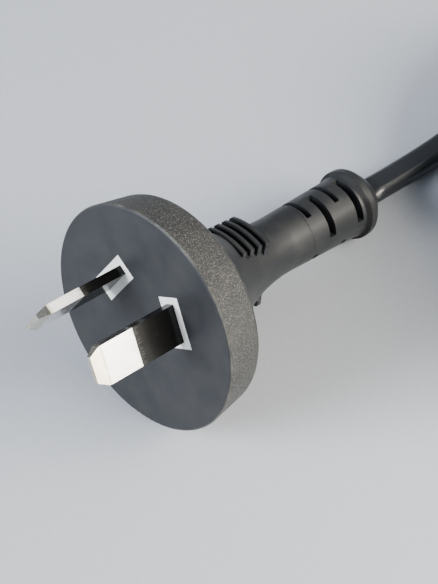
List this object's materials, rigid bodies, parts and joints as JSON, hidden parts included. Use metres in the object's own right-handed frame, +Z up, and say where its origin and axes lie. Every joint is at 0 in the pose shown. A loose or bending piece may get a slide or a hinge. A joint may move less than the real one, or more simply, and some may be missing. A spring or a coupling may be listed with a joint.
{
  "type": "type i plug",
  "caption": "Round moulded type I mains plug with insulated angled flat pins, ribbed neck and slotted boot, on a flat cord coiled and tied, ending in a figure-8 appliance connector.",
  "frame": {"origin": "middle of the box round the plug without its cord, on the surface that the plug lies on", "axes": "+Z up, +Y along the plug from its pins towards its cord, +X across it, on the side of the active pin"},
  "size_m": [0.0839, 0.1368, 0.0381],
  "materials": {
    "plug_body": "moulded, fine spark texture on the rim",
    "pin_carrier": "moulded, satin white",
    "pin_metal": "nickel plated, bright",
    "pin_sleeve": "smooth, glossy black",
    "copper": "bare copper strands",
    "neutral_insulation": "smooth light blue",
    "active_insulation": "smooth brown",
    "cord_jacket": "smooth flexible cord sheath",
    "tie_strap": "thin black strap",
    "connector_grip": "moulded, matt black",
    "connector_nose": "smooth black",
    "contact_metal": "rolled brass sheet"
  },
  "bodies": {
    "root": {"active_conductor": "copper", "active_core_insulation": "active_insulation", "active_pin": "pin_metal", "active_pin_sleeve": "pin_sleeve", "connector_active_conductor": "copper", "connector_active_contact": "contact_metal", "connector_active_insulation": "active_insulation", "connector_body": "connector_grip", "connector_insert": "connector_nose", "connector_jacket_end": "cord_jacket", "connector_neutral_conductor": "copper", "connector_neutral_contact": "contact_metal", "connector_neutral_insulation": "neutral_insulation", "cord_coil": "cord_jacket", "cord_lead": "cord_jacket", "cord_tail": "cord_jacket", "cord_tie": "tie_strap", "jacket_end": "cord_jacket", "neutral_conductor": "copper", "neutral_core_insulation": "neutral_insulation", "neutral_pin": "pin_metal", "neutral_pin_sleeve": "pin_sleeve", "pin_carrier": "pin_carrier", "plug_body": "plug_body"}
  },
  "joints": []
}
